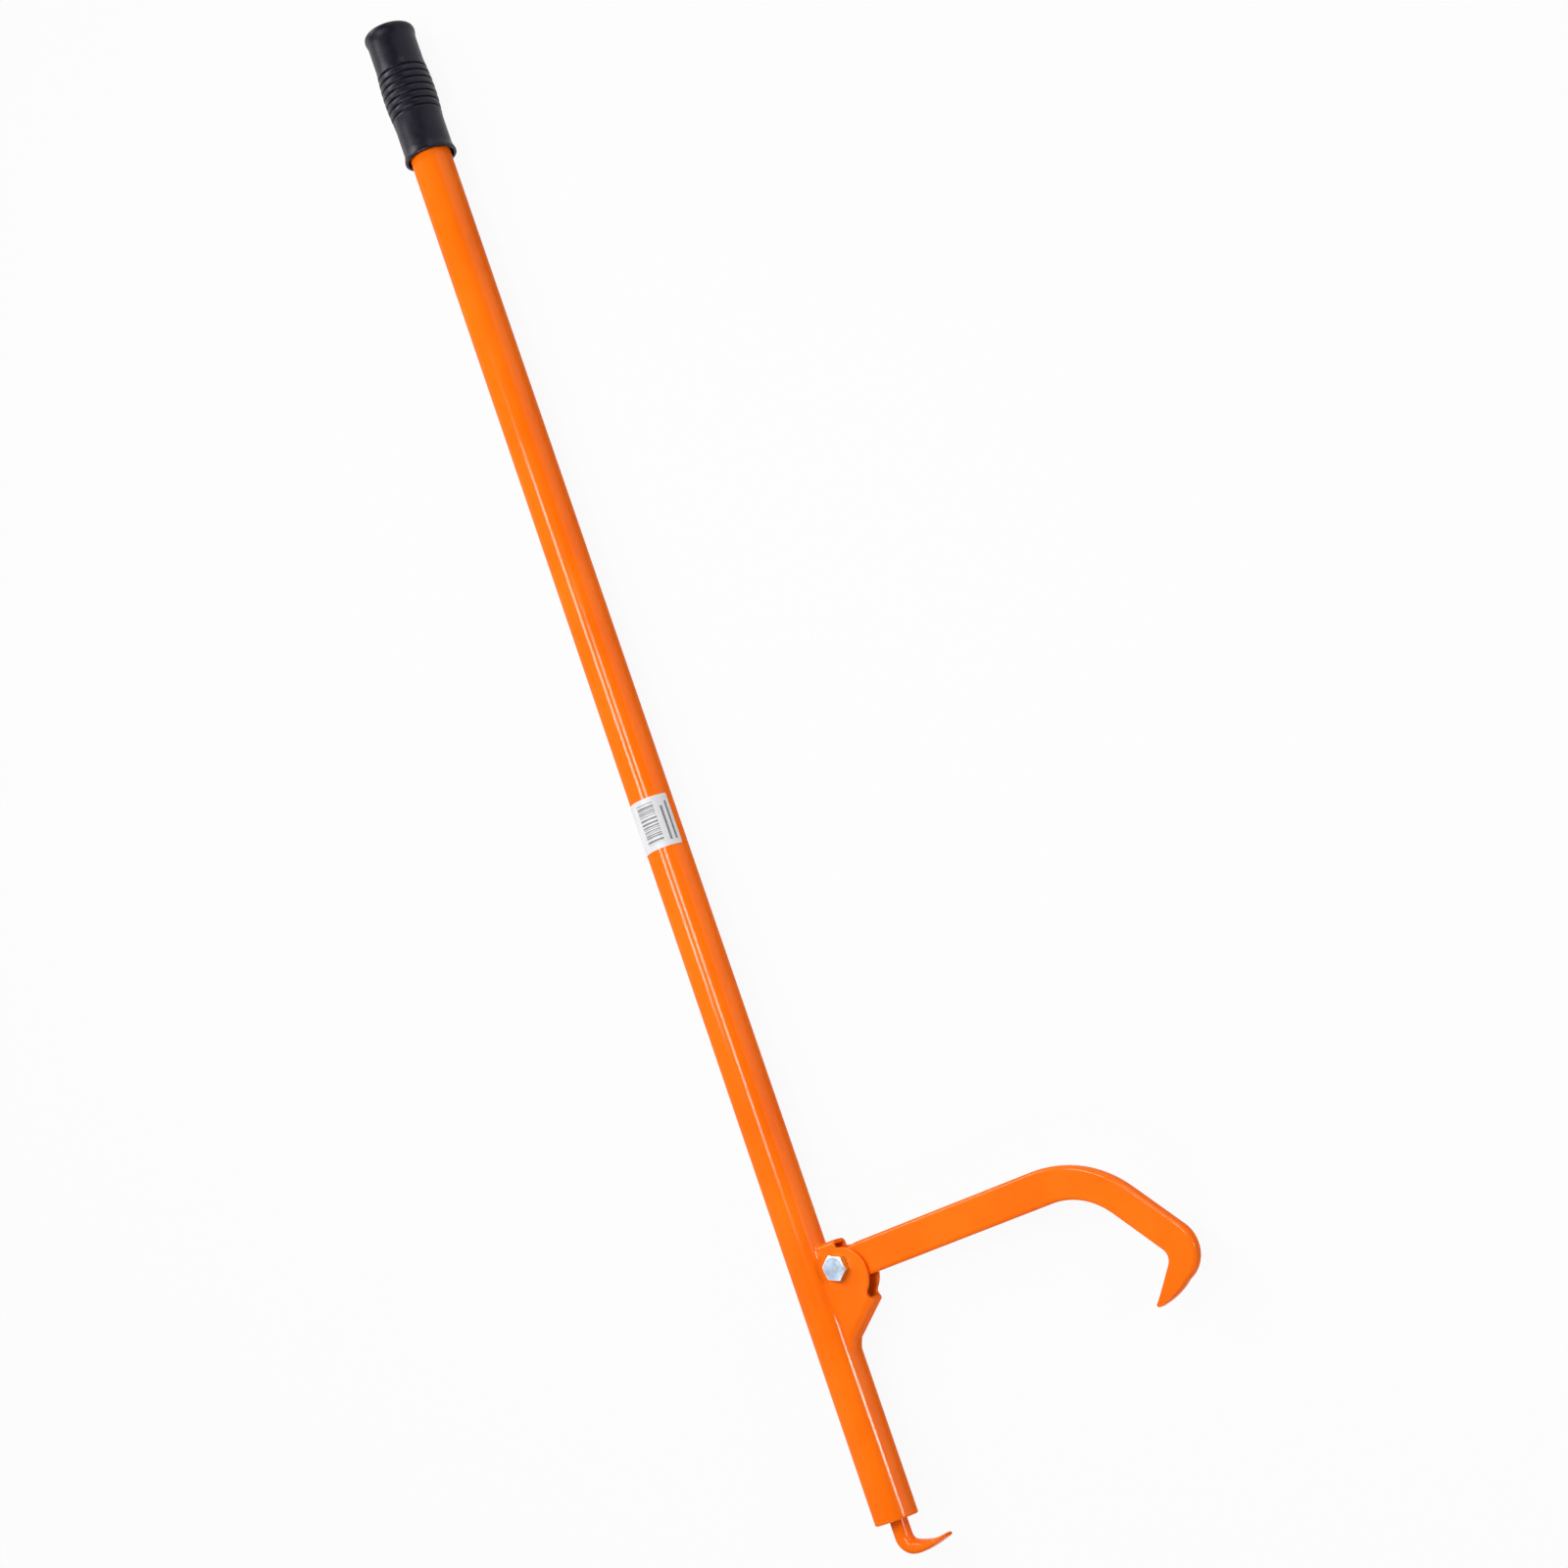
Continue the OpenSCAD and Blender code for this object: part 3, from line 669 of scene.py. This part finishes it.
def make_bracket():
    """One sheet folded to a U: two cheeks, a bridge above and a sloping web below."""
    bracket = plate("clevis_bracket_folded", bracket_outline(), HALF_OUT)

    def on_web(point):
        return abs((from_pivot(point) - foot).dot(web_out)) < ON_FACE

    def on_bridge(point):
        return abs(from_pivot(point).y - BRIDGE_RISE) < ON_FACE

    def on_side(point):
        return abs(abs(point.z / MM) - HALF_OUT) < ON_FACE

    def along_side(edge, belongs):
        a, b = (corner.co for corner in edge.verts)
        return abs(a.z - b.z) < 0.1 * MM and on_side(a) and belongs(a) and belongs(b)

    for belongs, fold in ((on_web, WEB_FOLD), (on_bridge, BRIDGE_FOLD)):
        pick_edges(lambda edge: along_side(edge, belongs))
        bpy.ops.mesh.bevel(offset=fold * MM, segments=FOLD_STEPS, affect="EDGES")

    def is_open(face):
        if abs(face.normal.z) > 0.01:
            return False
        middle = face.calc_center_median()
        return not (on_web(middle) or on_bridge(middle))

    pick_faces(is_open)
    bpy.ops.mesh.delete(type="FACE")
    bpy.ops.object.mode_set(mode="OBJECT")
    apply_tool(bracket, "SOLIDIFY", thickness=SHEET * MM, offset=-1.0, use_even_offset=True, use_rim=True)
    cope_reach = Vector((0, 0.2, 0))
    on_axis = Vector((0, pivot.y, 0))
    cut(bracket, rod("pole_cope", tube_r + SLIDE_FIT * MM, on_axis - cope_reach, on_axis + cope_reach, 128))
    punch = plate("notch_punch", notch_outline(), 2 * HALF_OUT)
    bpy.ops.object.mode_set(mode="OBJECT")
    cut(bracket, punch)

    def on_rim(edge):
        """Sharp edges of the sheet, but not where it meets the pole or inside the web's fold."""
        if len(edge.link_faces) != 2 or edge.calc_face_angle() < math.radians(50):
            return False
        middle = (edge.verts[0].co + edge.verts[1].co) / 2
        clear_of_pole = math.hypot(middle.x, middle.z) > tube_r + 0.3 * MM
        depth = (foot - from_pivot(middle)).dot(web_out)
        past = max(0, abs(middle.z) / MM - (HALF_OUT - WEB_FOLD))
        inside_fold = depth < WEB_FOLD and math.hypot(past, WEB_FOLD - depth) < WEB_FOLD - SHEET / 2
        return clear_of_pole and not inside_fold

    pick_up(bracket)
    bpy.ops.object.mode_set(mode="EDIT")
    merge_corners(RIM_JOIN)
    pick_edges(on_rim)
    bpy.ops.mesh.bevel(offset=RIM_ROUND * MM, segments=4, affect="EDGES")
    bpy.ops.object.mode_set(mode="OBJECT")
    # The bolt's hole comes last, because its cut would divide the faces that the rim is rounded on
    drill_reach = Vector((0, 0, 0.03))
    cut(bracket, rod("bolt_drill", BOLT_HOLE_R * MM, pivot - drill_reach, pivot + drill_reach))
    put_away(bracket, "pole", "clevis_bracket", orange, 30)


def fold_drop(z, fold):
    """How far a folded sheet has turned away from its flat, at a distance from the middle plane."""
    past = min(max(0, z - (HALF_OUT - fold)), fold)
    return fold - math.sqrt(fold ** 2 - past ** 2)


def foot_of_web(angle, radius):
    """How far the web's outer face lies above or below its foot, at a place round the pole."""
    x, z = direction(abs(angle)) * radius
    slope = math.radians(WEB_SLOPE)
    return fold_drop(z, WEB_FOLD) / math.cos(slope) - (tube_r / MM - x) * math.tan(slope)


def over_bridge(angle, radius):
    """How far the bridge's outer face lies below its flat, at a place round the pole."""
    return -fold_drop((direction(abs(angle)) * radius).y, BRIDGE_FOLD)


def bead(name, node, stations):
    """A run of weld laid along a row of sections."""
    put_away(loft(name, stations), "pole", node, orange, 60)


def ripple(place, pitch):
    """Height of the weld's ripple: each pool laps over the one before it."""
    share = (place / pitch) % 1.0
    return math.sin(math.pi * share ** 1.6)


def make_cheek_weld(name, node, side):
    """Hollow weld that runs smoothly from a cheek into the pole, a little rippled towards the foot."""
    low = -FOOT_DROP + 4.5
    high = BRIDGE_RISE - 2.5
    r = tube_r / MM
    count, arc_steps, small_r, large_r = 96, 8, 1.8, 9.0
    seat = math.sqrt(r ** 2 - HALF_OUT ** 2)
    stations = []
    for i in range(count + 1):
        y = low + (high - low) * i / count
        fade = min(1.0, (y - low) / 8 + 0.5, (high - y) / 6 + 0.12)
        grown = max(0, min(1, (y + 39) / 18))
        hollow_r = small_r + (large_r - small_r) * grown * grown * (3 - 2 * grown)
        rho = hollow_r * fade * (1 + 0.05 * math.sin(y * 0.23)) + 0.16 * ripple(y, 2.3)
        middle = Vector((math.sqrt((r + rho) ** 2 - (HALF_OUT + rho) ** 2), HALF_OUT + rho))
        start = math.atan2(-middle.y, -middle.x)
        sweep = -math.pi / 2 - start
        arc = [middle + pointing(start + sweep * j / arc_steps) * rho for j in range(arc_steps + 1)]
        root = Vector((seat - WELD_ROOT, HALF_OUT - 0.8))
        chain = arc + [Vector((arc[-1].x, HALF_OUT - 0.5)), root, arc[0] * (1 - WELD_ROOT / r)]
        stations.append([Vector((p.x * MM, pivot.y + y * MM, side * p.y * MM)) for p in chain])
    bead(name, node, stations)


def make_cross_weld(name, node, height, up, half_angle, leg_along, leg_out, hollow, follow):
    """A run of weld round the pole, above the bridge or under the foot of the web."""
    count = 44
    stations = []
    for i in range(count + 1):
        angle = -half_angle + 2 * half_angle * i / count
        fade = min(1.0, (half_angle - abs(angle)) / 7 + 0.35)
        size = fade * (1 + 0.03 * ripple(angle * tube_r / MM * math.pi / 180, 2.2))
        r = tube_r / MM
        drop = follow(angle, r)
        inner = r - WELD_SINK
        outer = inner + leg_out * size
        on_pole = Vector((inner, up * leg_along * size))
        on_sheet = Vector((outer, follow(angle, outer) - drop - up * WELD_SINK))
        pull = on_pole.lerp(on_sheet, 0.5).lerp(Vector((inner, 0)), hollow)
        chain = [(r - WELD_ROOT, height + drop - up * 0.5)]
        for t in (j / 6 for j in range(7)):
            x, y = on_pole.lerp(pull, t).lerp(pull.lerp(on_sheet, t), t)
            chain.append((x, height + drop + y))
        turned = direction(angle)
        stations.append([Vector((radius * turned.x * MM, pivot.y + y * MM, radius * turned.y * MM))
                         for radius, y in chain])
    bead(name, node, stations)


# Hook

ARM_HALF, EYE_R, HOOK_HALF_T, REST_ANGLE = 12.5, 10.8, 5.0, 0.4
EYE_HOLE_R, EDGE_ROUND = 5.08, 3.0
ARM_LEN, LEG_LEN, POINT_LEN, LEG_WIDTH = 210.7, 116.6, 61.8, 22.4
LEG_TURN, POINT_TURN, POINT_ANGLE, BELLY = 52.7, 106.9, 31.1, 2.2
BEND_OUTER_R, BEND_INNER_R, HEEL_R, THROAT_R = 84, 52, 23, 8.5


def hook_stations():
    """Pairs of points across the bar, from the eye to the point: inner edge, outer edge."""
    first = Vector((ARM_LEN, ARM_HALF))
    leg = -LEG_TURN
    back = leg - POINT_TURN
    heel = first + direction(leg) * LEG_LEN
    tip = heel + direction(back) * POINT_LEN
    leg_inner = first + direction(leg - 90) * LEG_WIDTH
    throat = crossing(leg_inner, leg, tip, back + POINT_ANGLE)
    inner = crossing(Vector((0, -ARM_HALF)), 0, leg_inner, leg)
    pairs = []
    for a in (174, 166, 157, 147, 136, 124, 112, 101):
        p = direction(a) * EYE_R
        pairs.append((Vector((p.x, -p.y)), p))
    neck = [(0, EYE_R), (5, 10.9), (9, 11.3), (13, 12.0)]
    arm = [(x, ARM_HALF) for x in (17, 22, 40, 70, 100, 130, 155)]
    for x, half in neck + arm:
        pairs.append((Vector((x, -half)), Vector((x, half))))
    outer_bend = rounded(Vector((0, ARM_HALF)), first, heel, BEND_OUTER_R, 16)
    inner_bend = rounded(Vector((0, -ARM_HALF)), inner, throat, BEND_INNER_R, 16)
    pairs += list(zip(inner_bend, outer_bend))
    outer_heel = rounded(first, heel, tip, HEEL_R, 22)
    inner_throat = rounded(inner, throat, tip, THROAT_R, 22)
    for share in (0.3, 0.6, 0.85):
        pairs.append((inner_bend[-1].lerp(inner_throat[0], share),
                      outer_bend[-1].lerp(outer_heel[0], share)))
    pairs += list(zip(inner_throat, outer_heel))
    belly = direction(back + 90) * BELLY
    for share in (0.07, 0.14, 0.21, 0.28, 0.35, 0.42, 0.49, 0.56, 0.63, 0.7, 0.75, 0.79, 0.83):
        bulge = belly * 4 * share * (1 - share)
        pairs.append((inner_throat[-1].lerp(tip, share), outer_heel[-1].lerp(tip, share) + bulge))
    i, o = pairs[-1]
    ahead = (tip - (i + o) / 2).normalized()
    for step, width in ((0.9, 0.93), (1.6, 0.78), (2.1, 0.55), (2.35, 0.28)):
        m = (i + o) / 2 + ahead * step
        pairs.append((m + (i - o) / 2 * width, m + (o - i) / 2 * width))
    return pairs


def make_hook():
    """Flat bar with rounded edges, extruded station by station round its bends, with its eye drilled."""
    tilt = Matrix.Rotation(math.radians(REST_ANGLE), 2)
    stations = []
    for inner, outer in hook_stations():
        inner, outer = tilt @ inner, tilt @ outer
        across = outer - inner
        heading = math.degrees(math.atan2(across.y, across.x)) - 90
        stations.append(((inner + outer) / 2, heading, across.length / 2 - 0.01))
    middle, heading, half = stations[0]
    edge, t, arc_steps = EDGE_ROUND, HOOK_HALF_T, 8
    section = []
    for corner_y, corner_z, start in ((1, 1, 0), (-1, 1, 90), (-1, -1, 180), (1, -1, 270)):
        for i in range(arc_steps + 1):
            c, s = direction(start + 90 * i / arc_steps) * edge
            section.append((corner_y * (ARM_HALF - edge) + c, corner_z * (t - edge) + s))
    ring = [at_pivot(middle + Vector((0, y * half / ARM_HALF)), z) for y, z in section]
    hook = trace("hook_bar", ring + ring[:1])
    close_face()
    centre = at_pivot(middle)
    bpy.ops.transform.rotate(value=-math.radians(heading), orient_axis="Z", center_override=centre)
    for (here, old_heading, old_half), (there, new_heading, new_half) in zip(stations, stations[1:]):
        centre = at_pivot(there)
        bpy.ops.mesh.extrude_region_move(TRANSFORM_OT_translate={"value": centre - at_pivot(here)})
        bpy.ops.transform.rotate(value=math.radians(old_heading), orient_axis="Z", center_override=centre)
        bpy.ops.transform.resize(value=(1, new_half / old_half, 1), center_override=centre)
        bpy.ops.transform.rotate(value=-math.radians(new_heading), orient_axis="Z", center_override=centre)
    tidy_shell()
    bpy.ops.object.mode_set(mode="OBJECT")
    drill_reach = Vector((0, 0, 0.02))
    cut(hook, rod("eye_drill", EYE_HOLE_R * MM, pivot - drill_reach, pivot + drill_reach))
    put_away(hook, "hook", "hook", orange, 30)


# Bolt, nut and ring

ACROSS_FLATS, EDGE_BREAK, FACE_SHARE, CHAMFER_ANGLE = 17, 0.18, 0.93, 28
HEAD_TURN, NUT_TURN, THREAD_PITCH = 37.8, 12, 1.5


def at_bolt(radius, z):
    return Vector((pivot.x + radius * MM, pivot.y, z * MM))


def hexagon(name, z_from, z_to, turned, top_chamfer, low_chamfer):
    """Hexagon bar, with its corners turned off on the lathe."""
    half = ACROSS_FLATS / 2
    corner = half / math.cos(math.pi / 6)
    start = z_from - (0.5 if low_chamfer else 0)
    end = z_to + (0.5 if top_chamfer else 0)
    lay_down_tools()
    bpy.ops.mesh.primitive_cylinder_add(vertices=6, radius=corner * MM, depth=(end - start) * MM,
                                        location=(pivot.x, pivot.y, (start + end) / 2 * MM),
                                        rotation=(0, 0, math.radians(turned - 90)))
    bar = settle(name)
    wide, face_r = corner + 1.0, half * FACE_SHARE
    drop = (wide - face_r) * math.tan(math.radians(CHAMFER_ANGLE))
    low_end = [(0, z_from), (face_r, z_from), (wide, z_from + drop)]
    top_end = [(wide, z_to - drop), (face_r, z_to), (0, z_to)]
    if not low_chamfer:
        low_end = [(0, z_from - 1), (wide, z_from - 1)]
    if not top_chamfer:
        top_end = [(wide, z_to + 1), (0, z_to + 1)]
    profile = [at_bolt(radius, z) for radius, z in low_end + top_end]
    blank = turn(name + "_blank", profile, pivot, BOLT_AXIS, 96)
    cut(bar, blank, "INTERSECT")
    return bar


def make_bolt():
    low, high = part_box("pivot_bolt")
    head = hexagon("pivot_bolt_plated", HALF_OUT, high.z / MM, HEAD_TURN, True, False)
    pitch, end = THREAD_PITCH, low.z / MM
    profile = [at_bolt(0, HALF_OUT + 2), at_bolt(5, HALF_OUT + 2), at_bolt(5, -HALF_OUT - 0.5)]
    z = -HALF_OUT - 0.5
    while z - pitch > end + 0.9:
        profile += [at_bolt(4.18, z - pitch * 0.5), at_bolt(4.95, z - pitch * 0.9)]
        profile += [at_bolt(4.95, z - pitch)]
        z -= pitch
    profile += [at_bolt(4.2, end + 0.25), at_bolt(3.95, end), at_bolt(0, end)]
    shank = turn("pivot_bolt_shank", profile, pivot, BOLT_AXIS, 64)
    cut(head, shank, "UNION")
    soften_edges(head, EDGE_BREAK * MM, 25)
    put_away(head, "pole", "pivot_bolt", zinc, 28)


def make_nut():
    low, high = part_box("lock_nut")
    outer, seat = low.z / MM, high.z / MM
    nut = hexagon("lock_nut_plated", outer + 3, seat, NUT_TURN, False, True)
    collar = [at_bolt(radius, outer + rise) for radius, rise in
              ((0, 4), (7.5, 4), (7.5, 1.6), (7.4, 0.9), (7.15, 0.35), (6.8, 0), (0, 0))]
    cut(nut, turn("lock_nut_collar", collar, pivot, BOLT_AXIS, 64), "UNION")
    cut(nut, rod("nut_bore", BOLT_HOLE_R * MM, at_bolt(0, outer - 5), at_bolt(0, seat + 5)))
    cut(nut, rod("ring_seat", 6.65 * MM, at_bolt(0, outer - 5), at_bolt(0, outer + 2.2)))
    soften_edges(nut, EDGE_BREAK * MM, 25)
    put_away(nut, "pole", "lock_nut", zinc, 28)


def make_nut_ring():
    low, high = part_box("nut_ring")
    a, b = low.z / MM, high.z / MM
    profile = [at_bolt(radius, z) for radius, z in
               ((5.16, b), (5.16, a + 0.6), (5.3, a + 0.2), (5.6, a), (6.3, a), (6.55, a + 0.25), (6.6, b),
                (5.16, b))]
    ring = turn("nut_ring_moulded", profile, pivot, BOLT_AXIS, 64)
    put_away(ring, "pole", "nut_ring", nylon)


make_tube()
make_plug()
make_ring_weld("plug_weld_bead", "plug_weld", 0, PLUG_WELD_R, False)
make_ring_weld("toe_weld_bead", "toe_weld", toe_x, TOE_HOLE_R, True)
make_toe()
make_grip()
make_label()
make_bracket()
make_cheek_weld("weld_front_bead", "weld_front", 1)
make_cheek_weld("weld_rear_bead", "weld_rear", -1)
make_cross_weld("weld_top_bead", "weld_top", BRIDGE_RISE, 1, 30, 3.2, 3.4, 1.0, over_bridge)
make_cross_weld("weld_foot_bead", "weld_foot", -FOOT_DROP, -1, 30, 6.0, 3.6, 0.3, foot_of_web)
make_hook()
make_bolt()
make_nut()
make_nut_ring()


# Floor, backdrop, light and camera

def make_floor():
    """Round white floor that curves up into a low wall."""
    ground = cad_low.z - 0.0005
    middle_y, reach, cove, wall = -0.6, 7.0, 1.5, 4.0
    curve = [(reach + cove * math.sin(a), cove - cove * math.cos(a)) for a in
             (math.pi / 2 * i / 12 for i in range(13))]
    section = [(0.001, 0), (3.0, 0)] + curve + [(reach + cove, wall)]
    profile = [Vector((r, middle_y, ground + z)) for r, z in section]
    floor = turn("floor", profile, (0, middle_y, ground), BOLT_AXIS, 96)
    finish = bpy.data.materials.new("white floor")
    finish.use_nodes = True
    nodes, links = finish.node_tree.nodes, finish.node_tree.links
    shader = next(n for n in nodes if n.type == "BSDF_PRINCIPLED")
    output = next(n for n in nodes if n.type == "OUTPUT_MATERIAL")
    shader.inputs["Base Color"].default_value = (0.58, 0.58, 0.58, 1)
    shader.inputs["Roughness"].default_value = 0.9
    shader.inputs["Specular IOR Level"].default_value = 0.1
    glow = nodes.new("ShaderNodeEmission")
    glow.inputs["Color"].default_value = (1, 1, 1, 1)
    path = nodes.new("ShaderNodeLightPath")
    bounce = combine(nodes, links, "MAXIMUM", path.outputs["Is Glossy Ray"],
                     path.outputs["Is Transmission Ray"])
    seen = combine(nodes, links, "MAXIMUM", path.outputs["Is Camera Ray"], bounce)
    mixed = nodes.new("ShaderNodeMixShader")
    links.new(combine(nodes, links, "MULTIPLY", seen, 0.94), mixed.inputs["Fac"])
    links.new(shader.outputs["BSDF"], mixed.inputs[1])
    links.new(glow.outputs["Emission"], mixed.inputs[2])
    links.new(mixed.outputs["Shader"], output.inputs["Surface"])
    floor.data.materials.append(finish)
    pick_up(floor)
    bpy.ops.object.shade_smooth()


def make_world():
    world = bpy.data.worlds.new("studio")
    bpy.context.scene.world = world
    world.use_nodes = True
    sky = next(n for n in world.node_tree.nodes if n.type == "BACKGROUND")
    sky.inputs["Color"].default_value = (1, 1, 1, 1)
    sky.inputs["Strength"].default_value = 0.06


def softbox(name, place, aim, size, power, spin=0):
    """Rectangular lamp aimed at a point, its height in line with the pole unless it is spun."""
    lamp = bpy.data.lights.new(name, "AREA")
    lamp.shape = "RECTANGLE"
    lamp.size, lamp.size_y = size
    lamp.energy = power
    holder = bpy.data.objects.new(name, lamp)
    bpy.context.scene.collection.objects.link(holder)
    holder.location = place
    forward = (Vector(aim) - Vector(place)).normalized()
    right = Vector(POLE_AXIS).cross(-forward).normalized()
    up = (-forward).cross(right)
    turn_to = Matrix((right, up, -forward)).transposed() @ Matrix.Rotation(spin, 3, "Z")
    holder.rotation_euler = turn_to.to_euler()
    holder.visible_camera = False


def round_pole(angle, distance, height):
    """A place round the pole: angle from the hook's side, distance, height above the tube's lower end."""
    a = math.radians(angle)
    return (distance * math.cos(a), pole_end + height, distance * math.sin(a))


def make_lights():
    softbox("overhead strip", round_pole(97.5, 1.5, 0.957), (0, pole_end + 0.6, 0), (0.28, 0.72), 11.6)
    softbox("front strip", round_pole(71.5, 1.5, 0.72), (0, pole_end + 0.46, 0), (0.24, 0.7), 9.8)
    softbox("low strip", round_pole(18.5, 1.5, 0.06), (0, pole_end + 0.05, 0), (0.15, 0.34), 5.6, 0.8)
    softbox("left panel", (-1.8, pole_end + 0.5, 1.8), (0.05, pole_end + 0.3, 0), (2.6, 2.6), 4.5)
    softbox("left strip", round_pole(174, 1.5, 0.82), (0, pole_end + 0.55, 0), (0.3, 1.76), 4.1)
    softbox("toe panel", (-0.4, -3.2, 1.0), (0.05, pole_end + 0.1, 0), (1.0, 1.0), 23)
    softbox("far window", (-2.87, 3.38, 2.82), (0.13, pole_end + 0.2, 0), (1.5, 2.5), 125)
    softbox("right window", (3.2, 3.45, 2.5), (0.2, pole_end + 0.15, 0), (0.9, 0.9), 20)


def make_camera():
    lens = bpy.data.cameras.new("photo view")
    lens.lens, lens.sensor_width = 69.16, 36
    camera = bpy.data.objects.new("photo view", lens)
    bpy.context.scene.collection.objects.link(camera)
    right = Vector((0.77442, -0.32543, -0.54256))
    up = Vector((0.38151, 0.92431, -0.00986))
    back = right.cross(up)
    turn_to = Matrix((right, up, back)).transposed().to_4x4()
    camera.matrix_world = Matrix.Translation((1.20208, pole_end + 0.08161, 1.81313)) @ turn_to
    lens.clip_start, lens.clip_end = 0.05, 60
    bpy.context.scene.camera = camera


make_floor()
make_world()
make_lights()
make_camera()
bpy.context.scene.view_settings.view_transform = "Standard"
lay_down_tools()
